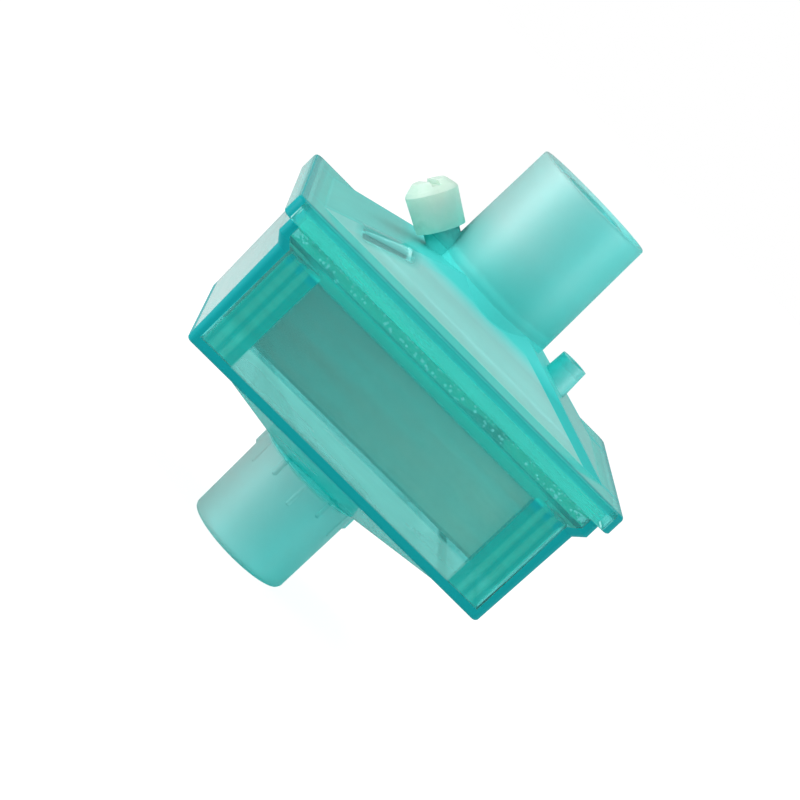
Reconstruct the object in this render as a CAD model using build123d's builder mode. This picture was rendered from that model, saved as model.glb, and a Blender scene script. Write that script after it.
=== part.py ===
from build123d import *
import os
from math import cos, radians, sin, sqrt

# Breathing circuit filter: two clear moulded shells round a pleated filter pack, potted in place,
# with a taper port at each end, a gas sampling stub with its cap, and a post that parks the cap.
# Millimetres, +Z up along the gas path. The origin is the centre of the lower port's mouth.

# Lid outline
lid_length = 79.6
lid_depth = 60.6
lid_corner_r = 2.0
lid_plate = 1.5
lid_edge_round = 0.8
skirt_wall = 1.3
skirt_height = 4.2
skirt_edge_chamfer = 0.3
lip_wall = 1.1
lip_gap = 0.3
lip_height = 2.4

# Deep shell
collar_gap = 0.6
collar_height = 3.1
collar_wall = 1.75
tongue_setback = 0.5
step_in = 1.55
step_height = 2.0
step_lift = 0.7
body_height = 23.0
body_draft_in = 0.55
body_corner_r = 1.2
inner_corner_r = 0.5
shell_wall = 1.7
floor_edge_round = 0.8

# Thin window in each long wall, and the ribs beside it
window_to_rib = 0.15
window_depth = 0.5
window_top_lift = 0.3
rib_setbacks = (6.4, 3.6, 1.2)
rib_widths = (1.9, 1.0, 1.0)
rib_gap = 0.1
rib_root = 0.4

# Lower hopper and its 22 mm male, 15 mm female port
low_hopper_setback = 9.0
low_hopper_lift = 0.4
low_hopper_drop = 6.1
low_hopper_root = (6.0, 9.3)
port_taper = 1 / 80
low_port_length = 20.0
low_port_r = 11.0
low_bore_r = 7.75
low_bore_length = 16.0
low_throat_r = 9.0
mouth_chamfer = 0.5
stop_rib_count = 6
stop_rib_r = 0.65
stop_rib_tip = 0.4
stop_rib_proud = 0.45
stop_rib_end_z = 16.4
guide_rib_proud = 0.2
guide_rib_end_z = 14.4
stop_rib_turn = -3.0
guide_rib_turn = 27.0

# Upper hopper and its 22 mm female, 15 mm male port
top_hopper_setback = (4.3, 10.3)
top_hopper_root = (7.5, 10.2)
top_hopper_rise = 8.2
hopper_wall = 1.6
ceiling_rise = 4.8
hip_pocket_rise = 1.0
hip_pocket_tip_r = 0.4
hip_pocket_r = 1.3
hip_pocket_length = 9.4
hip_pocket_mouth = 1.0
top_port_r = 12.6
top_port_root_r = 13.0
top_port_rise = 33.0
socket_r = 11.2
socket_floor_rise = 8.8
inner_tube_r = 7.6
inner_tube_bore_r = 6.2
inner_tube_drop = 0.4

# Filter pack, one folded sheet
pack_end_gap = 0.3
pack_side_gap = 0.7
pack_height = 21.4
pack_below_skirt = 0.2
sheet = 0.6
pleat_count = 14

# Potting bead round the top of the pack
bead_height = 3.6

# Parking post for the cap
post_x = 18.85
post_rise = 9.85
post_r = 2.87
post_base_r = 3.25
post_bore_r = 2.1
post_bore_depth = 3.6
post_root_depth = 2.5

# Sampling stub, tilted away from the port
stub_tilt = 60.0
stub_foot_x = -15.7
stub_foot_rise = 9.6
stub_r = 3.35
stub_length = 5.4
stub_root_length = 7.5
lug_r = 3.75
lug_width = 2.4
lug_height = 1.2
luer_mouth_r = 2.15
luer_taper = 0.03
luer_depth = 7.0
sample_hole_r = 1.0
sample_hole_reach = 10.3

# Cap on the sampling stub
cap_height = 7.1
cap_rim_lift = 0.25
cap_low_r = 4.6
cap_high_r = 4.93
cap_crown = 2.1
cap_crown_r = 3.1
cap_shoulder = 0.6
cap_shoulder_r = 4.55
cap_bore_r = 4.0
cap_seat_gap = 0.2
cap_plug_length = 5.5
cap_plug_gap = 0.08
cap_slot_width = 1.6
cap_slot_depth = 0.9
cap_slot_turn = 20.0

# Forms of one moulding run this far into each other
merge = 0.2

# Levels and outlines that follow from the sizes above
floor_low_z = low_port_length + low_hopper_drop
floor_top_z = floor_low_z + shell_wall
body_top_z = floor_low_z + body_height
step_top_z = body_top_z + step_height
skirt_low_z = step_top_z + collar_height
lid_top_z = skirt_low_z + skirt_height
plate_low_z = lid_top_z - lid_plate
hopper_top_z = lid_top_z + top_hopper_rise
ceiling_z = lid_top_z + ceiling_rise
socket_floor_z = lid_top_z + socket_floor_rise
top_mouth_z = lid_top_z + top_port_rise
post_top_z = lid_top_z + post_rise
bead_low_z = skirt_low_z - bead_height
pack_high_z = skirt_low_z - pack_below_skirt
pack_low_z = pack_high_z - pack_height
lid_half = (lid_length / 2, lid_depth / 2)


def inset(half, by):
    return (half[0] - by, half[1] - by)


collar_half = inset(lid_half, skirt_wall + collar_gap)
collar_inner = inset(collar_half, collar_wall)
body_half = inset(collar_half, step_in)
foot_half = inset(body_half, body_draft_in)
room_half = inset(body_half, shell_wall)
room_foot_half = inset(foot_half, shell_wall)
pack_half_x = room_foot_half[0] - pack_end_gap
pack_half_y = room_foot_half[1] - pack_side_gap
rib_centres = [room_foot_half[0] - setback for setback in rib_setbacks]
window_half = rib_centres[0] - rib_widths[0] / 2 - window_to_rib
low_hopper_half_x = foot_half[0] - low_hopper_setback
top_hopper_half = (lid_half[0] - top_hopper_setback[0], lid_half[1] - top_hopper_setback[1])


def ceiling_outline(z):
    """Half sizes of the room under the upper hopper, one wall inside its sloping faces."""
    half = []
    for base, root in zip(top_hopper_half, top_hopper_root):
        run = (base - root) / top_hopper_rise
        half.append(base - (z - lid_top_z) * run - hopper_wall * sqrt(1 + run**2))
    return tuple(half)


def outline_at(z, half, corner=0.0):
    """A centred rectangle at a height, with rounded corners where a radius is given."""
    with BuildSketch(Plane.XY.offset(z)) as outline:
        if corner > 0:
            RectangleRounded(2 * half[0], 2 * half[1], corner)
        else:
            Rectangle(2 * half[0], 2 * half[1])
    return outline.sketch


def tapered_block(z0, half0, z1, half1, corner=0.0, mode=Mode.ADD):
    """A block between two centred rectangles, such as a drafted wall or a hopper."""
    loft([outline_at(z0, half0, corner), outline_at(z1, half1, corner)], mode=mode)


def straight_block(z0, z1, half, corner=0.0, mode=Mode.ADD):
    """A block of one outline between two heights."""
    extrude(outline_at(z0, half, corner), amount=z1 - z0, mode=mode)


def turned(base, stations, mode=Mode.ADD):
    """A turned form on the base plane's normal, from its (height, radius) stations."""
    with BuildSketch(Plane(base.origin, x_dir=base.x_dir, z_dir=-base.y_dir)) as section:
        with BuildLine():
            Polyline((0, stations[0][0]), *[(r, h) for h, r in stations], (0, stations[-1][0]), close=True)
        make_face()
    revolve(section.sketch, axis=Axis(base.origin, base.z_dir), mode=mode)


upright = Plane.XY

# Lower shell: drafted box, stepped collar and tongue, hopper floor and taper port
with BuildPart() as lower_shell:
    tapered_block(floor_low_z, foot_half, body_top_z, body_half, body_corner_r)
    fillet(lower_shell.edges().group_by(Axis.Z)[0], floor_edge_round)
    tapered_block(body_top_z, body_half, step_top_z, collar_half, body_corner_r)
    straight_block(step_top_z, skirt_low_z, collar_half, body_corner_r)
    straight_block(skirt_low_z, plate_low_z, inset(collar_half, tongue_setback), body_corner_r)
    low_hopper_base = (low_hopper_half_x, foot_half[1] - floor_edge_round / 3)
    tapered_block(low_port_length, low_hopper_root, floor_low_z + low_hopper_lift, low_hopper_base)
    low_root_r = low_port_r + floor_low_z * port_taper
    turned(
        upright,
        [(0, low_port_r - mouth_chamfer / 2), (mouth_chamfer, low_port_r), (floor_low_z, low_root_r)],
    )

    # Room for the pack, opening outward at the step
    room_step_low = body_top_z + step_lift
    room_step_high = step_top_z + step_lift
    tapered_block(
        floor_top_z, room_foot_half, room_step_low, room_half, inner_corner_r, mode=Mode.SUBTRACT
    )
    tapered_block(
        room_step_low, room_half, room_step_high, collar_inner, inner_corner_r, mode=Mode.SUBTRACT
    )
    straight_block(room_step_high, plate_low_z, collar_inner, inner_corner_r, mode=Mode.SUBTRACT)

    # Hopper floor, throat and taper bore
    tapered_block(
        low_port_length + shell_wall,
        low_hopper_root,
        floor_top_z,
        (low_hopper_half_x, room_foot_half[1]),
        mode=Mode.SUBTRACT,
    )
    low_bore_top_r = low_bore_r - low_bore_length * port_taper
    turned(
        upright,
        [
            (0, low_bore_r + mouth_chamfer),
            (mouth_chamfer, low_bore_r),
            (low_bore_length, low_bore_top_r),
            (low_port_length + shell_wall, low_throat_r),
            (floor_low_z, low_throat_r),
        ],
        mode=Mode.SUBTRACT,
    )

    # Thin window in each long wall
    window_high_z = body_top_z + window_top_lift
    tapered_block(
        floor_top_z,
        (window_half, room_foot_half[1] + window_depth),
        window_high_z,
        (window_half, room_half[1] + window_depth),
        mode=Mode.SUBTRACT,
    )

    # Upright ribs between the long walls and the pack
    rib_inner_y = pack_half_y + rib_gap
    rib_outer_y = room_half[1] + rib_root
    for side in (-1, 1):
        for end in (-1, 1):
            for centre, width in zip(rib_centres, rib_widths):
                rib_y = side * (rib_inner_y + rib_outer_y) / 2
                with Locations((end * centre, rib_y, (floor_top_z + bead_low_z) / 2)):
                    Box(width, rib_outer_y - rib_inner_y, bead_low_z - floor_top_z)

    # Stop ribs and lower guide ribs under the root of the port
    rib_sets = (
        (stop_rib_turn, stop_rib_proud, stop_rib_end_z),
        (guide_rib_turn, guide_rib_proud, guide_rib_end_z),
    )
    for turn, proud, end_z in rib_sets:
        surface_r = low_port_r + end_z * port_taper
        with PolarLocations(surface_r + proud - stop_rib_r, stop_rib_count, start_angle=turn):
            with Locations((0, 0, end_z)):
                Cylinder(
                    stop_rib_r,
                    low_port_length + shell_wall - end_z,
                    align=(Align.CENTER, Align.CENTER, Align.MIN),
                )
                Cone(
                    stop_rib_r / 2,
                    stop_rib_r,
                    stop_rib_tip,
                    align=(Align.CENTER, Align.CENTER, Align.MAX),
                )
lower_shell.part.label = "lower_shell"

# Plane of the stub: origin at the foot of the cap, normal along the stub, away from the port
stub_axis = Vector(-sin(radians(stub_tilt)), 0, cos(radians(stub_tilt)))
stub_foot = (stub_foot_x, 0, lid_top_z + stub_foot_rise)
stub_plane = Plane(stub_foot, x_dir=(0, 1, 0), z_dir=tuple(stub_axis))

# Upper shell: rimmed lid, hopper, double-walled taper port, parking post and sampling stub
with BuildPart() as upper_shell:
    straight_block(skirt_low_z, lid_top_z, lid_half, lid_corner_r)
    fillet(upper_shell.edges().group_by(Axis.Z)[-1], lid_edge_round)
    chamfer(upper_shell.edges().group_by(Axis.Z)[0], skirt_edge_chamfer)
    skirt_half = inset(lid_half, skirt_wall)
    straight_block(skirt_low_z, plate_low_z, skirt_half, lid_corner_r - skirt_wall, mode=Mode.SUBTRACT)

    # Inner lip that closes the tongue's channel
    lip_half = inset(collar_inner, lip_gap)
    straight_block(plate_low_z - lip_height, plate_low_z + merge, lip_half, inner_corner_r)
    lip_room = inset(lip_half, lip_wall)
    straight_block(plate_low_z - lip_height, plate_low_z, lip_room, mode=Mode.SUBTRACT)

    # Hopper, outer wall of the port, post and stub
    tapered_block(lid_top_z - merge, top_hopper_half, hopper_top_z, top_hopper_root)
    turned(
        upright,
        [
            (ceiling_z, top_port_root_r),
            (top_mouth_z - mouth_chamfer / 2, top_port_r),
            (top_mouth_z, top_port_r - mouth_chamfer / 2),
        ],
    )
    post_plane = Plane((post_x, 0, 0))
    post_run = (top_hopper_half[0] - top_hopper_root[0]) / top_hopper_rise
    post_foot_z = lid_top_z + (top_hopper_half[0] - post_x) / post_run
    turned(post_plane, [(post_foot_z - post_root_depth, post_base_r), (post_top_z, post_r)])
    turned(stub_plane, [(-stub_root_length, stub_r), (stub_length, stub_r)])
    with BuildSketch(stub_plane.offset(stub_length - lug_height)):
        with BuildSketch(mode=Mode.PRIVATE) as lug_band:
            Rectangle(lug_width, 3 * lug_r)
        Circle(lug_r)
        add(lug_band.sketch, mode=Mode.INTERSECT)
    extrude(amount=lug_height)

    # Room under the hopper
    tapered_block(
        plate_low_z, ceiling_outline(plate_low_z), ceiling_z, ceiling_outline(ceiling_z), mode=Mode.SUBTRACT
    )

    # Tapered core pocket in the underside of the left front hip, below the stub
    pocket_z = lid_top_z + hip_pocket_rise
    pocket_half = ceiling_outline(pocket_z)
    hip_head_half = ceiling_outline(ceiling_z)
    pocket_tip = Vector(-pocket_half[0], -pocket_half[1], pocket_z)
    hip_head = Vector(-hip_head_half[0], -hip_head_half[1], ceiling_z)
    turned(
        Plane(pocket_tip, z_dir=hip_head - pocket_tip),
        [
            (0, hip_pocket_tip_r),
            (hip_pocket_length - hip_pocket_mouth, hip_pocket_r),
            (hip_pocket_length, hip_pocket_r),
        ],
        mode=Mode.SUBTRACT,
    )

    # Socket, inner tube and its bore
    socket_floor_r = socket_r - (top_mouth_z - socket_floor_z) * port_taper
    turned(
        upright,
        [
            (socket_floor_z, socket_floor_r),
            (top_mouth_z - mouth_chamfer, socket_r),
            (top_mouth_z, socket_r + mouth_chamfer),
        ],
        mode=Mode.SUBTRACT,
    )
    inner_tube_z = top_mouth_z - inner_tube_drop
    inner_tube_root_r = inner_tube_r + (inner_tube_z - socket_floor_z) * port_taper
    turned(
        upright,
        [
            (socket_floor_z - merge, inner_tube_root_r),
            (inner_tube_z - mouth_chamfer, inner_tube_r),
            (inner_tube_z, inner_tube_r - mouth_chamfer / 2),
        ],
    )
    turned(
        upright,
        [(ceiling_z - merge, inner_tube_bore_r), (top_mouth_z, inner_tube_bore_r)],
        mode=Mode.SUBTRACT,
    )

    # Bores of the post and of the sampling stub
    turned(
        post_plane,
        [(post_top_z - post_bore_depth, post_bore_r), (post_top_z, post_bore_r)],
        mode=Mode.SUBTRACT,
    )
    luer_root_r = luer_mouth_r - luer_depth * luer_taper
    turned(
        stub_plane,
        [
            (-sample_hole_reach, sample_hole_r),
            (stub_length - luer_depth, sample_hole_r),
            (stub_length - luer_depth, luer_root_r),
            (stub_length, luer_mouth_r),
        ],
        mode=Mode.SUBTRACT,
    )
upper_shell.part.label = "upper_shell"

# Filter pack: one sheet folded to and fro, its folds along X
run_spacing = (2 * pack_half_y - sheet) / (2 * pleat_count)
fold_r = run_spacing / 2
with BuildPart() as filter_pack:
    with BuildSketch(Plane.YZ.offset(-pack_half_x)):
        with BuildLine():
            low_end, high_end = pack_low_z + sheet / 2 + fold_r, pack_high_z - sheet / 2 - fold_r
            for run in range(2 * pleat_count + 1):
                run_y = (run - pleat_count) * run_spacing
                Line((run_y, low_end), (run_y, high_end))
                if run < 2 * pleat_count:
                    fold_z = low_end if run % 2 else high_end
                    crown_z = fold_z - fold_r if run % 2 else fold_z + fold_r
                    ThreePointArc((run_y, fold_z), (run_y + fold_r, crown_z), (run_y + run_spacing, fold_z))
        trace(line_width=sheet)
    extrude(amount=2 * pack_half_x)
filter_pack.part.label = "filter_pack"

# Potting bead: adhesive that fills the collar round the top of the pack
with BuildPart() as potting_bead:
    rise = (bead_low_z - room_step_low) / (room_step_high - room_step_low)
    bead_low_half = inset(room_half, -rise * (collar_inner[0] - room_half[0]))
    tapered_block(bead_low_z, bead_low_half, room_step_high, collar_inner, inner_corner_r)
    straight_block(room_step_high, skirt_low_z, collar_inner, inner_corner_r)
    straight_block(bead_low_z, skirt_low_z, (pack_half_x, pack_half_y), mode=Mode.SUBTRACT)
potting_bead.part.label = "potting_bead"

# Cap: tapered barrel with a sealing plug inside and a slotted crown
with BuildPart() as luer_cap:
    seat_h = stub_length + cap_seat_gap
    turned(
        stub_plane,
        [
            (cap_rim_lift, cap_low_r),
            (cap_height, cap_high_r),
            (cap_height + cap_shoulder, cap_shoulder_r),
            (cap_height + cap_crown, cap_crown_r),
        ],
    )
    turned(stub_plane, [(cap_rim_lift, cap_bore_r), (seat_h, cap_bore_r)], mode=Mode.SUBTRACT)
    plug_tip_h = seat_h - cap_plug_length
    plug_mouth_r = luer_mouth_r - cap_plug_gap
    turned(
        stub_plane,
        [
            (plug_tip_h, plug_mouth_r - cap_plug_length * luer_taper),
            (seat_h + merge, plug_mouth_r),
        ],
    )
    with Locations(stub_plane.offset(cap_height + cap_crown)):
        Box(
            3 * cap_high_r,
            cap_slot_width,
            2 * cap_slot_depth,
            rotation=(0, 0, cap_slot_turn),
            mode=Mode.SUBTRACT,
        )
luer_cap.part.label = "luer_cap"

os.makedirs("parts", exist_ok=True)
for piece in (lower_shell, upper_shell, filter_pack, potting_bead, luer_cap):
    export_step(piece.part, f"parts/{piece.part.label}.step")
    box = piece.part.bounding_box()
    print(piece.part.label, len(piece.part.solids()), round(piece.part.volume, 1), box)
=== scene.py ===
# Breathing circuit filter: clear teal shells, pleated paper, potting bead and cap, dressed on
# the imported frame. Metres, +Z up along the gas path, the front long wall towards -Y.
import math
import random
from collections import namedtuple

import bmesh
import bpy
from mathutils import Matrix, Vector, noise


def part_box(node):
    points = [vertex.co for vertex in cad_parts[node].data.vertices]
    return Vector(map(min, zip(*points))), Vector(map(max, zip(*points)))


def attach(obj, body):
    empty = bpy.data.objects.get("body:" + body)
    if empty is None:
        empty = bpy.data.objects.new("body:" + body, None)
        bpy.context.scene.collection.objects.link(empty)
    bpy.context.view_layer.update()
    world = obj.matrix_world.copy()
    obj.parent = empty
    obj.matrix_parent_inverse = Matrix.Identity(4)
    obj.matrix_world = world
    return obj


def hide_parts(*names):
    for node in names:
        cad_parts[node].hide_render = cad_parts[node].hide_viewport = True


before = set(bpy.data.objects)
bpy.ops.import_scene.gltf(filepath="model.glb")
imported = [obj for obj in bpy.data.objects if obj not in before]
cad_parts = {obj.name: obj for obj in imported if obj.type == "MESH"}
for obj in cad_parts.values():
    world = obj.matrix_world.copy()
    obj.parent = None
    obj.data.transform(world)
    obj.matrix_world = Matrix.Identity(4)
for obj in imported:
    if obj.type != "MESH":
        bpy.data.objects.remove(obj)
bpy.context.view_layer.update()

bl_info = {
    "name": "Breathing circuit filter",
    "version": (1, 0, 0),
    "blender": (4, 5, 0),
    "location": "3D View > Sidebar > Filter",
    "description": "Dresses the clear shells, pleated paper, potting bead and cap of a filter",
    "category": "Object",
}

MM = 0.001
WHITE = (1, 1, 1)

# Heights over the mouth of the lower port.
LOWER_PORT_TOP = 19.0 * MM
LOWER_HOPPER = (18.0 * MM, 26.0 * MM)
BOX_FLOOR = 27.8 * MM
CLEAR_STRIP = (28.0 * MM, 32.4 * MM)
RIB_FOOT, RIB_NECK, RIB_TOP = 28.5 * MM, 47.4 * MM, 49.5 * MM
COLLAR_STEP = (50.0 * MM, 51.8 * MM)
SKIRT = (50.0 * MM, 58.2 * MM)
LID_PLATE = (56.8 * MM, 58.4 * MM)
UPPER_HOPPER = (58.4 * MM, 66.6 * MM)
SOCKET_FLOOR = (66.8 * MM, 67.6 * MM)
PORT_ROOT = (64.5 * MM, 68.0 * MM)

# Half sizes along X and Y.
BOX_INNER = (34.4 * MM, 24.9 * MM)
COLLAR_INNER = (36.15 * MM, 26.65 * MM)
LID_INNER = (38.5 * MM, 29.0 * MM)
HOPPER_FOOT = (35.5 * MM, 20.0 * MM)
HOPPER_TOP = (7.5 * MM, 10.2 * MM)
WINDOW_HALF = 26.7 * MM

# Middle and half width of each rib at the ends of the long walls, and of their thick end zone.
WALL_RIBS = ((27.7 * MM, 1.0 * MM), (30.5 * MM, 0.55 * MM), (32.9 * MM, 0.5 * MM))
END_ZONE = (30.2 * MM, 3.45 * MM)

# The upright post that parks the cap: its middle and half width along X.
CAP_POST = (18.85 * MM, 3.4 * MM)
UPPER_PORT_RADIUS = 13.2 * MM
STUB_TILT = math.radians(60)

# The core pocket under the left front hip: its tip, its axis, the way across its flanks, length.
POCKET_TIP = Vector((-26.39, -16.31, 59.4)) * MM
POCKET_ALONG = Vector((0.9095, 0.3184, 0.2665))
POCKET_ACROSS = Vector((-0.4153, 0.6976, 0.5839))
POCKET_LENGTH = 9.6 * MM

# The bead: its gap to the collar and the pack, their corner radii, the height of its shelf over
# its foot, how far its underside is set in, and the depth of its waves below and on top.
BEAD_GAP = 0.06 * MM
COLLAR_CORNER, PACK_CORNER = 0.5 * MM, 0.3 * MM
BEAD_SHELF = 1.3 * MM
BEAD_SET_IN = 1.1 * MM
FOOT_WAVE, CREST_WAVE = 0.35 * MM, 0.22 * MM
BEAD_STEP = 0.9 * MM

# Bubbles are pressed flat on the bead's outer wall and stand a little proud of it.
BUBBLE_FLATNESS = 0.3
BUBBLE_PROUD = 0.03 * MM
STRINGS = 8

# Upward part of the normal on the collar's step.
STEP_TILT = 0.61
ROOT_TEAL = (0.07, 0.64, 0.61)

# The skin of clear plastic scatters, and shines only through its coat.
SKIN = {"Roughness": 0.45, "Specular IOR Level": 0.1, "Coat Roughness": 0.6, "Coat IOR": 2.4}
SHADOW_TINT = (0.8, 0.9, 0.9)

# Softboxes: name, place, width, height and watts.
LAMPS = (
    ("key_softbox", (-0.50, -0.14, 0.16), 0.30, 0.3, 1.15),
    ("low_softbox", (-0.30, -0.10, 0.055), 0.1, 0.09, 0.22),
    ("fill_softbox", (0.5, -0.28, 0.16), 0.08, 0.3, 1.0),
    ("top_softbox", (0.0, 0.05, 0.6), 0.5, 0.5, 1.4),
)
FLOOR_REACH = 3.0
FLOOR_DROP = 0.02 * MM
FLOOR_GLOW, FLOOR_WHITENESS = 1.2, 0.75
ROOM_LIGHT, SEEN_LIGHT = 0.53, 1.0
SENSOR_WIDTH = 36.0
LIGHT_BOUNCES = 24

# A clear plastic's parts, and a band of its skin: where it lies, its extra haze and its colour.
ClearPlastic = namedtuple("ClearPlastic", "material tree clear skin share")
Band = namedtuple("Band", "place more colour")


class ShellPlastic(bpy.types.PropertyGroup):
    """Tinted clear plastic of the two shells."""
    tint: bpy.props.FloatVectorProperty(
        name="Tint", description="Light that the plastic lets through", subtype="COLOR",
        size=3, min=0.0, max=1.0, default=(0.0, 0.865, 0.855))
    depth: bpy.props.FloatProperty(
        name="Tint depth", description="How fast the tint grows with thickness, per metre",
        min=0.0, default=420.0)
    gloss: bpy.props.FloatProperty(
        name="Wall roughness", description="Roughness of the polished walls",
        subtype="FACTOR", min=0.0, max=1.0, default=0.035)
    frost: bpy.props.FloatProperty(
        name="Port roughness", description="Roughness of the finely frosted ports",
        subtype="FACTOR", min=0.0, max=1.0, default=0.52)
    index: bpy.props.FloatProperty(
        name="Refractive index", description="Refractive index of the plastic",
        min=1.0, default=1.5)
    haze: bpy.props.FloatProperty(
        name="Wall haze", description="Share of the light that the skin of a wall scatters",
        subtype="FACTOR", min=0.0, max=1.0, default=0.15)
    haze_colour: bpy.props.FloatVectorProperty(
        name="Wall haze colour", description="Colour of the light that a wall scatters",
        subtype="COLOR", size=3, min=0.0, max=1.0, default=(0.0, 0.72, 0.67))
    edge_haze: bpy.props.FloatProperty(
        name="Edge haze", description="Share scattered where a wall lies edge-on behind the face",
        subtype="FACTOR", min=0.0, max=1.0, default=1.0)
    edge_colour: bpy.props.FloatVectorProperty(
        name="Edge colour", description="Colour of a wall seen edge-on", subtype="COLOR",
        size=3, min=0.0, max=1.0, default=(0.0, 0.30, 0.32))
    port_haze: bpy.props.FloatProperty(
        name="Port haze", description="Share of the light that the frosted ports scatter",
        subtype="FACTOR", min=0.0, max=1.0, default=0.48)
    port_colour: bpy.props.FloatVectorProperty(
        name="Port haze colour", description="Colour of the light that the ports scatter",
        subtype="COLOR", size=3, min=0.0, max=1.0, default=(0.22, 0.62, 0.60))


class FilterPaper(bpy.types.PropertyGroup):
    """Glass fibre paper of the pleated pack."""
    # The paper colour is far darker than white fibre paper: painted shade for the shaded inside of
    # the pack.
    colour: bpy.props.FloatVectorProperty(
        name="Paper colour", description="Colour of the fibre paper", subtype="COLOR",
        size=3, min=0.0, max=1.0, default=(0.40, 0.34, 0.28))
    fibre: bpy.props.FloatProperty(
        name="Fibre size", description="Spacing of the fibre mottle in the paper",
        subtype="DISTANCE", unit="LENGTH", min=0.00001, default=0.0006)


class PottingBead(bpy.types.PropertyGroup):
    """Clear adhesive round the top of the pack."""
    colour: bpy.props.FloatVectorProperty(
        name="Adhesive tint", description="Light that the adhesive lets through", subtype="COLOR",
        size=3, min=0.0, max=1.0, default=(0.50, 0.85, 0.80))
    bubbles: bpy.props.IntProperty(
        name="Bubbles", description="Air bubbles on the long walls; the end walls add a quarter",
        min=0, default=340)
    bubble_radius: bpy.props.FloatProperty(
        name="Bubble radius", description="Radius of the largest bubbles",
        subtype="DISTANCE", unit="LENGTH", min=0.00005, default=0.0006)
    seed: bpy.props.IntProperty(
        name="Seed", description="Where the bubbles fall", default=7)


class CapPlastic(bpy.types.PropertyGroup):
    """Milky plastic of the luer cap."""
    colour: bpy.props.FloatVectorProperty(
        name="Cap colour", description="Colour of the milky plastic", subtype="COLOR",
        size=3, min=0.0, max=1.0, default=(0.53, 0.71, 0.61))
    foot_colour: bpy.props.FloatVectorProperty(
        name="Foot colour", description="Colour of the cap near its open end", subtype="COLOR",
        size=3, min=0.0, max=1.0, default=(0.28, 0.68, 0.57))


class StudioStage(bpy.types.PropertyGroup):
    """Floor, light and camera."""
    azimuth: bpy.props.FloatProperty(
        name="Camera azimuth", description="Turn of the camera round the filter",
        subtype="ANGLE", unit="ROTATION", default=math.radians(-8.0405))
    elevation: bpy.props.FloatProperty(
        name="Camera elevation", description="Height angle of the camera",
        subtype="ANGLE", unit="ROTATION", default=math.radians(9.1091))
    roll: bpy.props.FloatProperty(
        name="Camera roll", description="Tilt of the picture round the line of sight",
        subtype="ANGLE", unit="ROTATION", default=math.radians(46.1684))
    distance: bpy.props.FloatProperty(
        name="Camera distance", description="Distance from the aim point",
        subtype="DISTANCE", unit="LENGTH", default=0.493353)
    aim: bpy.props.FloatVectorProperty(
        name="Aim point", description="Point in the middle of the picture",
        subtype="TRANSLATION", unit="LENGTH", size=3, default=(0.001536, 0.0, 0.040579))
    lens: bpy.props.FloatProperty(
        name="Lens", description="Focal length in millimetres on a 36 mm sensor",
        min=1.0, default=121.28)


class FilterSettings(bpy.types.PropertyGroup):
    """All settings of the filter."""
    shell: bpy.props.PointerProperty(type=ShellPlastic)
    paper: bpy.props.PointerProperty(type=FilterPaper)
    bead: bpy.props.PointerProperty(type=PottingBead)
    cap: bpy.props.PointerProperty(type=CapPlastic)
    stage: bpy.props.PointerProperty(type=StudioStage)


def node(tree, kind, sockets=None, **settings):
    """A shader node with its settings, and its sockets linked or set. Nodes stand in rows, in the
    order in which they are made."""
    row, column = divmod(len(tree.nodes), 8)
    made = tree.nodes.new(kind)
    made.location = (220 * column, -320 * row)
    for name, value in settings.items():
        setattr(made, name, value)
    for name, value in (sockets or {}).items():
        socket = made.inputs[name]
        if isinstance(value, bpy.types.NodeSocket):
            tree.links.new(value, socket)
        elif socket.type == "RGBA":
            socket.default_value = (*value, 1)
        else:
            socket.default_value = value
    return made


def fresh_material(name):
    """An empty node material with its output."""
    material = bpy.data.materials.new(name)
    material.use_nodes = True
    tree = material.node_tree
    tree.nodes.clear()
    return material, tree, node(tree, "ShaderNodeOutputMaterial")


def math_node(tree, operation, *values, clamp=False):
    """A maths node fed by sockets or numbers."""
    sockets = dict(enumerate(values))
    return node(tree, "ShaderNodeMath", sockets, operation=operation, use_clamp=clamp).outputs[0]


def product(tree, first, *others):
    """Several sockets or numbers multiplied."""
    for other in others:
        first = math_node(tree, "MULTIPLY", first, other)
    return first


def largest(tree, first, *others):
    """The largest of several sockets."""
    for other in others:
        first = math_node(tree, "MAXIMUM", first, other)
    return first


def ramp_node(tree, value, low, high, to_low=0.0, to_high=1.0):
    """A value carried from one range to another, held at its ends."""
    made = node(tree, "ShaderNodeMapRange", {
        "Value": value, "From Min": low, "From Max": high, "To Min": to_low, "To Max": to_high})
    return made.outputs[0]


def pulse(tree, value, middle, half, soft):
    """One inside a band round a value, falling to zero over a soft edge."""
    away = math_node(tree, "ABSOLUTE", math_node(tree, "SUBTRACT", value, middle))
    return ramp_node(tree, away, half + soft / 2, half - soft / 2)


def mix_colour(tree, share, first, second):
    """Two colours mixed by a share; each is a socket or three numbers."""
    sockets = {0: share, 6: first, 7: second}
    return node(tree, "ShaderNodeMix", sockets, data_type="RGBA").outputs[2]


def noise_node(tree, point, scale, **more):
    """The value of a noise texture."""
    sockets = {"Vector": point, "Scale": scale, **more}
    return node(tree, "ShaderNodeTexNoise", sockets).outputs["Fac"]


def stretched(tree, point, scale):
    """A point scaled along each axis."""
    return node(tree, "ShaderNodeMapping", {"Vector": point, "Scale": scale}).outputs[0]


def bump_node(tree, height, strength, distance):
    """A normal bent by small bumps."""
    sockets = {"Height": height, "Strength": strength, "Distance": distance}
    return node(tree, "ShaderNodeBump", sockets).outputs[0]


def object_point(tree):
    """Where a point of the piece lies, in metres."""
    return node(tree, "ShaderNodeTexCoord").outputs["Object"]


def along_axis(tree, point, axis):
    """One coordinate of a point."""
    return node(tree, "ShaderNodeSeparateXYZ", {0: point}).outputs[axis]


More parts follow.
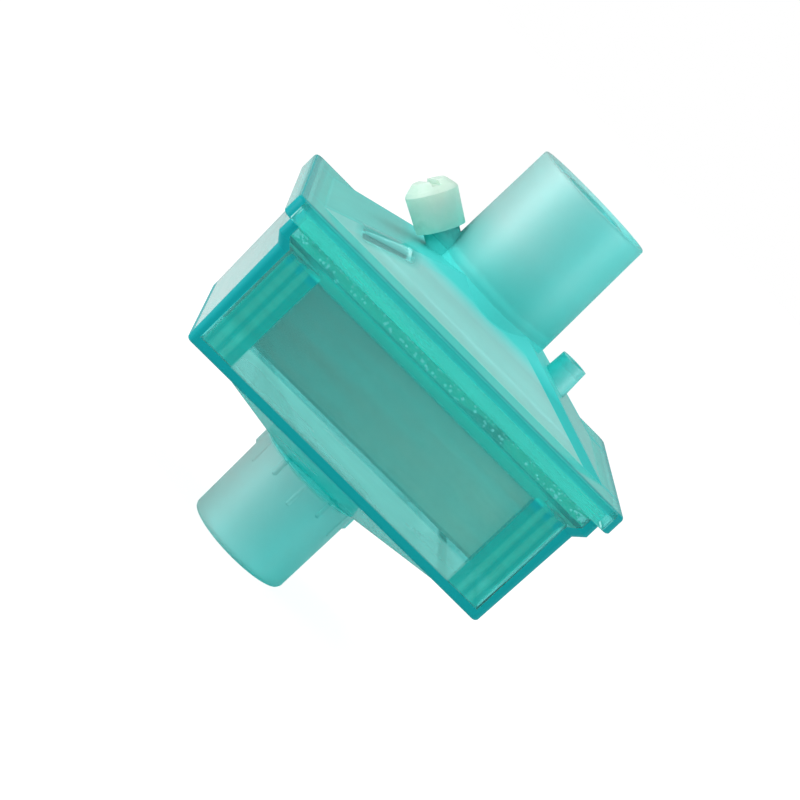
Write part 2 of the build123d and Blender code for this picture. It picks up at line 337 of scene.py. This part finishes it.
def clear_plastic(name, tint, depth, index, roughness):
    """Tinted clear plastic: the tint grows with the path through the wall, and the skin scatters
    a share of the light, which is a socket to set or link."""
    material, tree, output = fresh_material(name)
    clear = node(tree, "ShaderNodeBsdfPrincipled", {
        "Base Color": WHITE, "Transmission Weight": 1.0, "IOR": index, "Roughness": roughness})
    skin = node(tree, "ShaderNodeBsdfPrincipled", {"IOR": index, **SKIN})
    body = node(tree, "ShaderNodeMixShader", {1: clear.outputs[0], 2: skin.outputs[0]})
    passing = node(tree, "ShaderNodeBsdfTransparent", {"Color": SHADOW_TINT})
    path = node(tree, "ShaderNodeLightPath")
    surface = node(tree, "ShaderNodeMixShader", {
        0: path.outputs["Is Shadow Ray"], 1: body.outputs[0], 2: passing.outputs[0]})
    absorb = node(tree, "ShaderNodeVolumeAbsorption", {"Color": tint, "Density": depth})
    tree.links.new(surface.outputs[0], output.inputs["Surface"])
    tree.links.new(absorb.outputs[0], output.inputs["Volume"])
    return ClearPlastic(material, tree, clear, skin, body.inputs[0])


class ShellPlace:
    """Sockets of where a point of a shell lies and which way it faces. All but signed_x are
    without sign, because the walls are alike on both sides."""

    def __init__(self, tree):
        self.tree = tree
        place = node(tree, "ShaderNodeTexCoord")
        self.point = place.outputs["Object"]
        at = node(tree, "ShaderNodeSeparateXYZ", {0: self.point})
        facing = node(tree, "ShaderNodeSeparateXYZ", {0: place.outputs["Normal"]})
        self.signed_x = at.outputs["X"]
        self.x, self.y, self.z = (math_node(tree, "ABSOLUTE", way) for way in at.outputs)
        self.nx, self.ny, self.nz = (math_node(tree, "ABSOLUTE", way) for way in facing.outputs)

    def between(self, low, high, soft=0.4 * MM):
        """Heights from low to high."""
        return product(self.tree, ramp_node(self.tree, self.z, low - soft, low),
                       ramp_node(self.tree, self.z, high + soft, high))


def edge_on_walls(here, inner_x, inner_y, floor=None):
    """Where a wall or the floor lies edge-on behind the face."""
    tree = here.tree
    reach, soft = 0.35 * MM, 0.1 * MM
    tilted = pulse(tree, here.nz, STEP_TILT, 0.13, 0.04)
    found = []
    for distance, inner, normal in ((here.x, inner_x, here.nx), (here.y, inner_y, here.ny)):
        beyond = ramp_node(tree, math_node(tree, "SUBTRACT", distance, inner), -reach, -soft)
        step = product(tree, tilted, ramp_node(tree, normal, 0.6, 0.7))
        found.append(product(tree, beyond, ramp_node(tree, normal, 0.97, 0.80),
                             math_node(tree, "SUBTRACT", 1.0, step)))
    if floor is not None:
        beyond = ramp_node(tree, here.z, floor + reach, floor + soft)
        above_hopper = ramp_node(tree, here.z, floor - 2.0 * MM, floor - 1.7 * MM)
        found.append(product(tree, beyond, ramp_node(tree, here.nz, 0.97, 0.80), above_hopper))
    return largest(tree, *found)


def shell_skin(here, look, plastic, edge_on, on_port, port_colour, port_gloss, bands):
    """Where the skin of a shell is hazy: faintly on the walls, more in bands, strongly edge-on,
    and in a pale frost on the ports."""
    tree = here.tree
    streak = noise_node(tree, stretched(tree, here.point, (40.0, 60.0, 420.0)), 1.0, Detail=3.0)
    wall = ramp_node(tree, streak, 0.3, 0.7, look.haze * 0.75, look.haze * 1.25)
    colour = look.haze_colour
    for band in bands:
        wall = math_node(tree, "MULTIPLY_ADD", band.place, band.more, wall)
        colour = mix_colour(tree, band.place, colour, band.colour)
    frosted = product(tree, on_port, look.port_haze)
    dense = product(tree, edge_on, look.edge_haze)
    total = math_node(tree, "MAXIMUM", largest(tree, wall, frosted), dense, clamp=True)
    colour = mix_colour(tree, on_port, colour, port_colour)
    colour = mix_colour(tree, edge_on, colour, look.edge_colour)
    roughness = ramp_node(tree, on_port, 0.0, 1.0, look.gloss, look.frost)
    ripple = noise_node(tree, here.point, 90.0, Detail=2.0)
    tree.links.new(total, plastic.share)
    tree.links.new(colour, plastic.skin.inputs["Base Color"])
    tree.links.new(port_gloss, plastic.skin.inputs["Coat Weight"])
    tree.links.new(roughness, plastic.clear.inputs["Roughness"])
    tree.links.new(bump_node(tree, ripple, 0.12, 0.25 * MM), plastic.clear.inputs["Normal"])


def frost_with_painted_light(here, look):
    """The frost of the ports, with painted light: paler towards -X, the stub's side, where the key
    lamp stands.
    """
    pale, deep = Vector(look.port_colour) * 0.98, Vector(look.port_colour) * 1.1
    pale.x, deep.x = look.port_colour[0] * 2.0, look.port_colour[0] * 0.2
    return mix_colour(here.tree, ramp_node(here.tree, here.signed_x, -10 * MM, 4 * MM), pale, deep)


def rib_bands(here):
    """On the long walls: the thick end zones, their upright ribs with dark heads, the clear strip
    under the pack and the middle of the collar's step."""
    tree = here.tree
    front = ramp_node(tree, here.ny, 0.6, 0.8)
    zone = product(tree, front, pulse(tree, here.x, *END_ZONE, 0.4 * MM),
                   here.between(RIB_FOOT, 49.4 * MM, 1.0 * MM))
    rows = (pulse(tree, here.x, middle, half, 0.5 * MM) for middle, half in WALL_RIBS)
    ribs = product(tree, front, here.between(RIB_FOOT, RIB_TOP, 0.8 * MM), largest(tree, *rows))
    heads = product(tree, ribs, ramp_node(tree, here.z, RIB_NECK, RIB_NECK + 1.0 * MM))
    strip = product(tree, front, pulse(tree, here.x, 0.0, WINDOW_HALF, 0.4 * MM),
                    here.between(*CLEAR_STRIP))
    step = product(tree, ramp_node(tree, here.ny, 0.5, 0.6),
                   here.between(49.6 * MM, 51.4 * MM, 0.6 * MM),
                   pulse(tree, here.x, 0.0, 29.0 * MM, 5.0 * MM))
    return (
        Band(zone, 0.38, (0.02, 0.56, 0.48)),
        Band(ribs, 0.15, (0.0, 0.42, 0.38)),
        Band(heads, 0.2, (0.0, 0.34, 0.36)),
        Band(strip, 0.22, (0.26, 0.80, 0.74)),
        Band(step, 0.4, (0.02, 0.60, 0.52)),
    )


def pocket_bands(here):
    """Walls of the core pocket: painted shade makes its flanks dark and a painted highlight makes
    its blunt end bright.
    Also gives how near the pocket is, from 0 to 1."""
    tree = here.tree
    offset = node(tree, "ShaderNodeVectorMath", {0: here.point, 1: POCKET_TIP},
                  operation="SUBTRACT").outputs[0]

    def measure(direction, operation, output):
        return node(tree, "ShaderNodeVectorMath", {0: offset, 1: direction},
                    operation=operation).outputs[output]

    travel = measure(POCKET_ALONG, "DOT_PRODUCT", "Value")
    height = math_node(tree, "ABSOLUTE", measure(POCKET_ACROSS, "DOT_PRODUCT", "Value"))
    sideways = measure(POCKET_ALONG, "CROSS_PRODUCT", "Vector")
    from_axis = node(tree, "ShaderNodeVectorMath", {0: sideways},
                     operation="LENGTH").outputs["Value"]
    inside = product(
        tree, ramp_node(tree, from_axis, 1.5 * MM, 1.4 * MM),
        ramp_node(tree, travel, -0.5 * MM, -0.3 * MM),
        ramp_node(tree, travel, POCKET_LENGTH + 0.2 * MM, POCKET_LENGTH))
    edge = ramp_node(tree, travel, 0.0, 8.4 * MM, 0.15 * MM, 0.75 * MM)
    past_edge = ramp_node(tree, math_node(tree, "SUBTRACT", height, edge), 0.0, 0.25 * MM)
    painted_dark_flank = product(tree, inside, past_edge)
    end = product(tree, inside, ramp_node(tree, travel, 8.5 * MM, 9.0 * MM))
    near = product(
        tree, ramp_node(tree, from_axis, 3.6 * MM, 1.9 * MM),
        ramp_node(tree, travel, -2.5 * MM, 0.0),
        ramp_node(tree, travel, 11.5 * MM, 9.4 * MM))
    bands = (
        Band(inside, 0.3, (0.30, 0.70, 0.67)),
        # Painted shade on the flanks, and a painted highlight at the blunt end.
        Band(painted_dark_flank, 0.8, (0.02, 0.08, 0.08)),
        Band(end, 0.6, (0.95, 1.0, 1.0)),
    )
    return bands, near


def hopper_bands(here, near_pocket):
    """The hopper over the lid: its end slopes, long slopes and darker hips, all clearer round the
    core pocket."""
    tree = here.tree
    rise = here.between(58.5 * MM, 66.2 * MM)
    open_view = ramp_node(tree, near_pocket, 0.0, 1.0, 1.0, 0.25)
    ends = product(tree, rise, ramp_node(tree, here.ny, 0.55, 0.45))
    longs = product(tree, rise, ramp_node(tree, here.ny, 0.5, 0.6))
    past_x, past_y = (
        math_node(tree, "SUBTRACT", distance, ramp_node(tree, here.z, *UPPER_HOPPER, foot, top))
        for distance, foot, top in zip((here.x, here.y), HOPPER_FOOT, HOPPER_TOP))
    long_hips = product(tree, longs, ramp_node(tree, past_x, -5.9 * MM, -5.4 * MM))
    end_hips = product(tree, ends, ramp_node(tree, past_y, -2.7 * MM, -2.3 * MM),
                       ramp_node(tree, past_y, 0.3 * MM, 0.1 * MM))
    fainter_left = ramp_node(tree, here.signed_x, -8 * MM, 8 * MM, 0.25, 1.0)
    hips = product(tree, largest(tree, long_hips, end_hips), fainter_left)
    return (
        Band(product(tree, ends, open_view), 0.45, (0.08, 0.60, 0.55)),
        Band(product(tree, longs, open_view), 0.35, (0.40, 0.76, 0.73)),
        Band(product(tree, hips, open_view), 0.35, (0.02, 0.52, 0.50)),
    )


def lower_shell_plastic(look):
    """Clear plastic of the box, its ribs, the hopper under it and the lower port."""
    plastic = clear_plastic("clear_lower_shell", look.tint, look.depth, look.index, look.gloss)
    tree = plastic.tree
    here = ShellPlace(tree)
    inner_x, inner_y = (
        ramp_node(tree, here.z, *COLLAR_STEP, box, collar)
        for box, collar in zip(BOX_INNER, COLLAR_INNER))
    edge_on = edge_on_walls(here, inner_x, inner_y, BOX_FLOOR)
    on_port = ramp_node(tree, here.z, LOWER_PORT_TOP + 1.0 * MM, LOWER_PORT_TOP)
    hopper = Band(here.between(*LOWER_HOPPER), 0.25, look.haze_colour)
    shell_skin(here, look, plastic, edge_on, on_port, frost_with_painted_light(here, look), on_port,
               (hopper, *rib_bands(here)))
    return plastic.material


def upper_shell_plastic(look):
    """Clear plastic of the lid, the hopper over it, the upper port, the stub and the post."""
    plastic = clear_plastic("clear_upper_shell", look.tint, look.depth, look.index, look.gloss)
    tree = plastic.tree
    here = ShellPlace(tree)
    square = math_node(tree, "MULTIPLY_ADD", here.y, here.y, product(tree, here.x, here.x))
    in_port = ramp_node(tree, math_node(tree, "SQRT", square),
                        UPPER_PORT_RADIUS + 0.2 * MM, UPPER_PORT_RADIUS)
    post = product(tree, pulse(tree, here.signed_x, *CAP_POST, 0.2 * MM),
                   ramp_node(tree, here.nz, 0.6, 0.4),
                   ramp_node(tree, here.z, 59.0 * MM, 59.5 * MM))
    root = product(tree, in_port, ramp_node(tree, here.z, 61.0 * MM, 63.0 * MM))
    on_port = largest(tree, ramp_node(tree, here.z, 65.5 * MM, 68.0 * MM), root, post)
    rooted = product(tree, ramp_node(tree, here.z, 78.0 * MM, 67.0 * MM),
                     ramp_node(tree, here.signed_x, 15.0 * MM, 14.0 * MM))
    port_colour = mix_colour(tree, rooted, frost_with_painted_light(here, look), ROOT_TEAL)
    port_gloss = product(tree, on_port, math_node(tree, "SUBTRACT", 1.0, rooted))
    socket_floor = product(tree, here.between(*SOCKET_FLOOR, 0.1 * MM),
                           ramp_node(tree, here.nz, 0.8, 0.9), in_port)
    skirt = product(tree, here.between(*SKIRT),
                    ramp_node(tree, here.x, 36.4 * MM, 37.9 * MM, 1.0, 0.1))
    plate = product(tree, here.between(*LID_PLATE, 0.2 * MM), ramp_node(tree, here.nz, 0.8, 0.6))
    pocket_walls_and_painted_light, near_pocket = pocket_bands(here)
    bands = (
        Band(skirt, 0.22, (0.06, 0.84, 0.72)),
        Band(plate, 0.15, (0.02, 0.62, 0.60)),
        *hopper_bands(here, near_pocket),
        *pocket_walls_and_painted_light,
        Band(here.between(*PORT_ROOT, 2.0 * MM), 0.62, ROOT_TEAL),
        # Painted light: the socket floor is given a bright pale colour, to lift the shade deep
        # inside the port.
        Band(socket_floor, 0.7, (0.15, 0.90, 0.86)),
    )
    lighter_above = ramp_node(tree, here.nz, 0.8, 0.95, 1.0, 0.62)
    edge_on = product(tree, edge_on_walls(here, *LID_INNER), lighter_above)
    shell_skin(here, look, plastic, edge_on, on_port, port_colour, port_gloss, bands)
    return plastic.material


def paper_material(paper):
    """Fibre paper with mottle and cloudy patches, and painted shade: darker towards -X."""
    material, tree, output = fresh_material("fibre_paper")
    point = object_point(tree)
    colour = Vector(paper.colour)
    mottle = noise_node(tree, point, 1.0 / paper.fibre, Detail=6.0)
    cloud = noise_node(tree, point, 0.08 / paper.fibre)
    blend = math_node(tree, "MULTIPLY_ADD", cloud, 0.5, product(tree, mottle, 0.5))
    shade = mix_colour(tree, ramp_node(tree, blend, 0.3, 0.7), colour * 0.9, colour * 1.06)
    # Painted shade: the paper grows darker towards -X and lighter towards +X.
    painted_shade = ramp_node(tree, along_axis(tree, point, "X"), -28 * MM, 28 * MM, 0.45, 1.28)
    paper_with_painted_shade = node(tree, "ShaderNodeVectorMath", {0: shade, "Scale": painted_shade}, operation="SCALE")
    shader = node(tree, "ShaderNodeBsdfPrincipled", {
        "Base Color": paper_with_painted_shade.outputs[0], "Roughness": 0.9,
        "Normal": bump_node(tree, mottle, 0.4, 0.05 * MM)})
    tree.links.new(shader.outputs[0], output.inputs["Surface"])
    return material


def adhesive_material(bead, foot_height):
    """Hazy adhesive with darker clear patches stretched along the wall and a pale foot."""
    plastic = clear_plastic(
        "adhesive", tint=bead.colour, depth=260.0, index=1.08, roughness=0.05)
    tree = plastic.tree
    point = object_point(tree)
    patch = noise_node(tree, stretched(tree, point, (90.0, 90.0, 420.0)), 1.0, Detail=2.0)
    body = mix_colour(
        tree, ramp_node(tree, patch, 0.52, 0.60), (0.07, 0.82, 0.64), (0.03, 0.36, 0.30))
    foot = ramp_node(tree, along_axis(tree, point, "Z"),
                     foot_height + 0.6 * MM, foot_height + 0.35 * MM)
    colour = mix_colour(tree, foot, body, (0.20, 0.80, 0.68))
    tree.links.new(ramp_node(tree, patch, 0.52, 0.60, 0.65, 0.92), plastic.share)
    tree.links.new(colour, plastic.skin.inputs["Base Color"])
    return plastic.material


def bubble_material():
    """Bright walls of air bubbles, which shimmer from one to the next."""
    plastic = clear_plastic(
        "bubble_walls", tint=(0.9, 1.0, 1.0), depth=10.0, index=1.5, roughness=0.02)
    tree = plastic.tree
    shimmer = ramp_node(tree, noise_node(tree, object_point(tree), 1500.0), 0.35, 0.65)
    colour = mix_colour(tree, shimmer, (0.70, 0.96, 0.92), WHITE)
    tree.links.new(colour, plastic.skin.inputs["Base Color"])
    plastic.skin.inputs["Metallic"].default_value = 1.0
    plastic.skin.inputs["Roughness"].default_value = 0.2
    plastic.share.default_value = 0.7
    return plastic.material


def cap_material(cap):
    """Milky plastic that is deeper in colour near the cap's open end."""
    material, tree, output = fresh_material("milky_cap")
    point = object_point(tree)
    stub_axis = (-math.sin(STUB_TILT), 0, math.cos(STUB_TILT))
    along = node(tree, "ShaderNodeVectorMath", {0: point, 1: stub_axis}, operation="DOT_PRODUCT")
    rise = ramp_node(tree, along.outputs["Value"], 48 * MM, 55 * MM)
    shader = node(tree, "ShaderNodeBsdfPrincipled", {
        "Base Color": mix_colour(tree, rise, cap.foot_colour, cap.colour), "Roughness": 0.42,
        "Subsurface Weight": 0.6, "Subsurface Radius": (1.0, 1.0, 0.9),
        "Subsurface Scale": 2.5 * MM,
        "Normal": bump_node(tree, noise_node(tree, point, 420.0), 0.5, 0.6 * MM)})
    tree.links.new(shader.outputs[0], output.inputs["Surface"])
    return material


def seen_or_through(tree):
    """One for what the camera sees, straight or through clear walls."""
    path = node(tree, "ShaderNodeLightPath")
    return largest(tree, path.outputs["Is Camera Ray"], path.outputs["Is Transmission Ray"])


def pale_stage_material(name):
    """White to the eye and through clear walls, with a part of the light's shading kept."""
    material, tree, output = fresh_material(name)
    diffuse = node(tree, "ShaderNodeBsdfDiffuse", {"Color": (0.9, 0.9, 0.9)})
    white = node(tree, "ShaderNodeEmission", {"Strength": FLOOR_GLOW})
    share = product(tree, seen_or_through(tree), FLOOR_WHITENESS)
    mix = node(tree, "ShaderNodeMixShader", {0: share, 1: diffuse.outputs[0], 2: white.outputs[0]})
    tree.links.new(mix.outputs[0], output.inputs["Surface"])
    return material


def dress(name, material):
    """A CAD node keeps its shape and takes a material."""
    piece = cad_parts[name]
    piece.data.materials.clear()
    piece.data.materials.append(material)
    return piece


def new_piece(context, name, material):
    """An object with an empty mesh and a material."""
    mesh = bpy.data.meshes.new(name)
    mesh.materials.append(material)
    piece = bpy.data.objects.new(name, mesh)
    context.scene.collection.objects.link(piece)
    return piece


def rectangle_point(half, radius, turn):
    """A point of a rounded rectangle and its outward way, for a turn from 0 to 1 round it."""
    flat_x, flat_y = half.x - radius, half.y - radius
    quarter = math.pi * radius / 2
    way = turn * sum((2 * flat_y, quarter, 2 * flat_x, quarter) * 2)
    runs = (
        (Vector((half.x, -flat_y)), Vector((0, 1)), 2 * flat_y, Vector((flat_x, flat_y))),
        (Vector((flat_x, half.y)), Vector((-1, 0)), 2 * flat_x, Vector((-flat_x, flat_y))),
        (Vector((-half.x, flat_y)), Vector((0, -1)), 2 * flat_y, Vector((-flat_x, -flat_y))),
        (Vector((-flat_x, -half.y)), Vector((1, 0)), 2 * flat_x, Vector((flat_x, -flat_y))),
    )
    for side, (start, ahead, length, corner) in enumerate(runs):
        if way <= length:
            return start + way * ahead, Vector((ahead.y, -ahead.x))
        way -= length
        if way <= quarter:
            angle = side * math.pi / 2 + way / radius
            outward = Vector((math.cos(angle), math.sin(angle)))
            return corner + radius * outward, outward
        way -= quarter
    return runs[0][0], Vector((1, 0))


def bead_rings(outer, inner, low, high):
    """Closed loops of the bead, in turn round its section: its wavy underside, the wall against
    the collar, its wavy top and the wall against the pack."""
    count = int(4 * (outer.x + outer.y) / BEAD_STEP)
    shelf = low + BEAD_SHELF
    rings = [[] for _ in range(10)]
    for number in range(count):
        turn = number / count
        edge, outward = rectangle_point(outer, COLLAR_CORNER, turn)
        core, _ = rectangle_point(inner, PACK_CORNER, turn)
        wave = (noise.noise(Vector((edge.x, edge.y, 0)) * 260)
                + 0.5 * noise.noise(Vector((edge.x, edge.y, 9)) * 700))
        crest = noise.noise(Vector((edge.x, edge.y, 4)) * 180)
        foot = low + 0.25 * MM + FOOT_WAVE * wave
        top = high - 0.25 * MM + CREST_WAVE * crest
        set_in = edge - BEAD_SET_IN * outward
        section = (
            (core, foot - 0.1 * MM), (core.lerp(set_in, 0.5), foot - 0.2 * MM), (set_in, foot),
            (set_in + 0.35 * MM * outward, foot + 0.45 * MM), (edge, shelf),
            (edge, (shelf + top) / 2), (edge, top), (edge.lerp(core, 0.35), top - 0.3 * MM),
            (core, top), (core, (top + foot) / 2),
        )
        for ring, (point, height) in zip(rings, section):
            ring.append((point.x, point.y, height))
    return rings


def bubble_places(rng, bead, outer, inner, low, high):
    """Where bubbles show against the collar: froth in the corners, strings along the long walls
    and a line of small ones under the rim, then some on the end walls. Each is a centre, a radius
    and the axis that faces the wall."""
    places = []
    shelf, rim = low + BEAD_SHELF, high - 0.5 * MM
    for _ in range(bead.bubbles):
        group = rng.random()
        if group < 0.4:
            radius = bead.bubble_radius * rng.uniform(0.3, 0.7)
            x = rng.choice((-1, 1)) * (outer.x - radius - abs(rng.gauss(0.2 * MM, 1.0 * MM)))
            z = rng.uniform(shelf + radius, rim - radius)
        elif group < 0.7:
            radius = bead.bubble_radius * rng.uniform(0.35, 1.0)
            string = rng.randrange(STRINGS)
            x = (string / (STRINGS - 1) * 2 - 1) * (inner.x - 5 * MM) + rng.gauss(0, 2.0 * MM)
            z = low + 1.9 * MM + rng.gauss(0, 0.25 * MM)
        else:
            radius = bead.bubble_radius * rng.uniform(0.25, 0.4)
            x = rng.uniform(-outer.x + 1.5 * MM, outer.x - 1.5 * MM)
            z = high - rng.uniform(0.55, 0.75) * MM
        y = rng.choice((-1, 1)) * (outer.y - BUBBLE_FLATNESS * radius + BUBBLE_PROUD)
        places.append((Vector((x, y, z)), radius, 1))
    for _ in range(bead.bubbles // 4):
        radius = bead.bubble_radius * rng.uniform(0.3, 0.8)
        x = rng.choice((-1, 1)) * (outer.x - BUBBLE_FLATNESS * radius + BUBBLE_PROUD)
        z = rng.uniform(shelf + radius, rim - radius)
        places.append((Vector((x, rng.uniform(-inner.y, inner.y), z)), radius, 0))
    return places


class FILTER_OT_shells(bpy.types.Operator):
    """Gives both shells their clear teal plastic."""
    bl_idname = "filter.shells"
    bl_label = "Dress the clear shells"

    def execute(self, context):
        look = context.scene.filter_settings.shell
        dress("lower_shell", lower_shell_plastic(look))
        dress("upper_shell", upper_shell_plastic(look))
        return {"FINISHED"}


class FILTER_OT_pack(bpy.types.Operator):
    """Gives the pleated pack its fibre paper."""
    bl_idname = "filter.pack"
    bl_label = "Dress the pleated pack"

    def execute(self, context):
        material = paper_material(context.scene.filter_settings.paper)
        dress("filter_pack", material)
        return {"FINISHED"}


class FILTER_OT_bead(bpy.types.Operator):
    """Fills the collar with adhesive that holds bubbles."""
    bl_idname = "filter.bead"
    bl_label = "Make the potting bead"

    def execute(self, context):
        bead = context.scene.filter_settings.bead
        rng = random.Random(bead.seed)
        low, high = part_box("potting_bead")
        pack_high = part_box("filter_pack")[1]
        outer = Vector((high.x - BEAD_GAP, high.y - BEAD_GAP))
        inner = Vector((pack_high.x + BEAD_GAP, pack_high.y + BEAD_GAP))

        ring_piece = new_piece(context, "adhesive_ring", adhesive_material(bead, low.z))
        build = bmesh.new()
        rings = bead_rings(outer, inner, low.z, high.z)
        loops = [[build.verts.new(point) for point in ring] for ring in rings]
        for first, second in zip(loops, loops[1:] + loops[:1]):
            for step in range(len(first)):
                after = (step + 1) % len(first)
                build.faces.new((first[step], first[after], second[after], second[step]))
        bmesh.ops.recalc_face_normals(build, faces=build.faces)
        for face in build.faces:
            face.smooth = True
        build.to_mesh(ring_piece.data)
        build.free()
        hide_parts("potting_bead")
        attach(ring_piece, "housing")

        bubble_piece = new_piece(context, "adhesive_bubbles", bubble_material())
        build = bmesh.new()
        for centre, radius, axis in bubble_places(rng, bead, outer, inner, low.z, high.z):
            made = bmesh.ops.create_icosphere(build, subdivisions=2, radius=radius)
            for vertex in made["verts"]:
                vertex.co[axis] *= BUBBLE_FLATNESS
                vertex.co += centre
        for face in build.faces:
            face.smooth = True
        build.to_mesh(bubble_piece.data)
        build.free()
        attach(bubble_piece, "housing")
        return {"FINISHED"}


class FILTER_OT_cap(bpy.types.Operator):
    """Gives the luer cap its milky plastic."""
    bl_idname = "filter.cap"
    bl_label = "Dress the luer cap"

    def execute(self, context):
        material = cap_material(context.scene.filter_settings.cap)
        dress("luer_cap", material)
        return {"FINISHED"}


class FILTER_OT_stage(bpy.types.Operator):
    """Sets the floor, the soft light and the camera."""
    bl_idname = "filter.stage"
    bl_label = "Set the stage"

    def execute(self, context):
        stage = context.scene.filter_settings.stage
        self.set_floor(context)
        self.set_room(context)
        self.set_lamps(context, stage)
        self.set_camera(context, stage)
        context.scene.view_settings.view_transform = "Standard"
        context.scene.cycles.max_bounces = LIGHT_BOUNCES
        context.scene.cycles.transmission_bounces = LIGHT_BOUNCES
        return {"FINISHED"}

    def set_floor(self, context):
        """A wide plain floor just under the lower port."""
        floor = new_piece(context, "floor", pale_stage_material("pale_floor"))
        corners = ((-1, -1), (1, -1), (1, 1), (-1, 1))
        floor.data.from_pydata(
            [(x * FLOOR_REACH, y * FLOOR_REACH, 0) for x, y in corners], [], [(0, 1, 2, 3)])
        floor.location.z = -FLOOR_DROP

    def set_room(self, context):
        """A grey room that lights the filter and shows in its gloss, seen as white."""
        world = bpy.data.worlds.new("studio")
        context.scene.world = world
        world.use_nodes = True
        tree = world.node_tree
        tree.nodes.clear()
        room, white = (
            node(tree, "ShaderNodeBackground", {"Color": WHITE, "Strength": strength}).outputs[0]
            for strength in (ROOM_LIGHT, SEEN_LIGHT))
        mix = node(tree, "ShaderNodeMixShader", {0: seen_or_through(tree), 1: room, 2: white})
        node(tree, "ShaderNodeOutputWorld", {"Surface": mix.outputs[0]})

    def set_lamps(self, context, stage):
        """Softboxes round the filter, all turned to the aim point."""
        for name, place, width, height, power in LAMPS:
            lamp = bpy.data.lights.new(name, "AREA")
            lamp.shape = "RECTANGLE"
            lamp.size, lamp.size_y, lamp.energy = width, height, power
            holder = bpy.data.objects.new(name, lamp)
            holder.location = place
            aim = Vector(stage.aim) - holder.location
            holder.rotation_euler = aim.to_track_quat("-Z", "Y").to_euler()
            context.scene.collection.objects.link(holder)

    def set_camera(self, context, stage):
        """The camera at the photograph's angle, tilted round its line of sight."""
        back = Vector((
            math.sin(stage.azimuth) * math.cos(stage.elevation),
            -math.cos(stage.azimuth) * math.cos(stage.elevation),
            math.sin(stage.elevation)))
        right = (-back).cross(Vector((0, 0, 1))).normalized()
        up = right.cross(-back)
        tilted_right = math.cos(stage.roll) * right + math.sin(stage.roll) * up
        tilted_up = -math.sin(stage.roll) * right + math.cos(stage.roll) * up
        camera = bpy.data.cameras.new("camera")
        camera.sensor_width = SENSOR_WIDTH
        camera.lens = stage.lens
        camera.clip_start = 0.01
        holder = bpy.data.objects.new("camera", camera)
        turn = Matrix((tilted_right, tilted_up, back)).transposed().to_4x4()
        turn.translation = Vector(stage.aim) + stage.distance * back
        holder.matrix_world = turn
        context.scene.collection.objects.link(holder)
        context.scene.camera = holder


class FILTER_PT_panel(bpy.types.Panel):
    """Lists the steps that dress the filter, and their settings."""
    bl_idname = "FILTER_PT_panel"
    bl_label = "Breathing circuit filter"
    bl_space_type = "VIEW_3D"
    bl_region_type = "UI"
    bl_category = "Filter"

    def draw(self, context):
        for step in STEPS:
            self.layout.operator(step.bl_idname)
        settings = context.scene.filter_settings
        for group in (settings.shell, settings.paper, settings.bead, settings.cap, settings.stage):
            column = self.layout.box().column()
            for name in group.__annotations__:
                column.prop(group, name)


STEPS = (FILTER_OT_shells, FILTER_OT_pack, FILTER_OT_bead, FILTER_OT_cap, FILTER_OT_stage)
GROUPS = (ShellPlastic, FilterPaper, PottingBead, CapPlastic, StudioStage, FilterSettings)


def register():
    for kind in (*GROUPS, *STEPS, FILTER_PT_panel):
        bpy.utils.register_class(kind)
    bpy.types.Scene.filter_settings = bpy.props.PointerProperty(type=FilterSettings)


def unregister():
    del bpy.types.Scene.filter_settings
    for kind in reversed((*GROUPS, *STEPS, FILTER_PT_panel)):
        bpy.utils.unregister_class(kind)


def main():
    register()
    bpy.ops.filter.shells()
    bpy.ops.filter.pack()
    bpy.ops.filter.bead()
    bpy.ops.filter.cap()
    bpy.ops.filter.stage()
    bpy.context.view_layer.update()


if __name__ == "__main__":
    main()
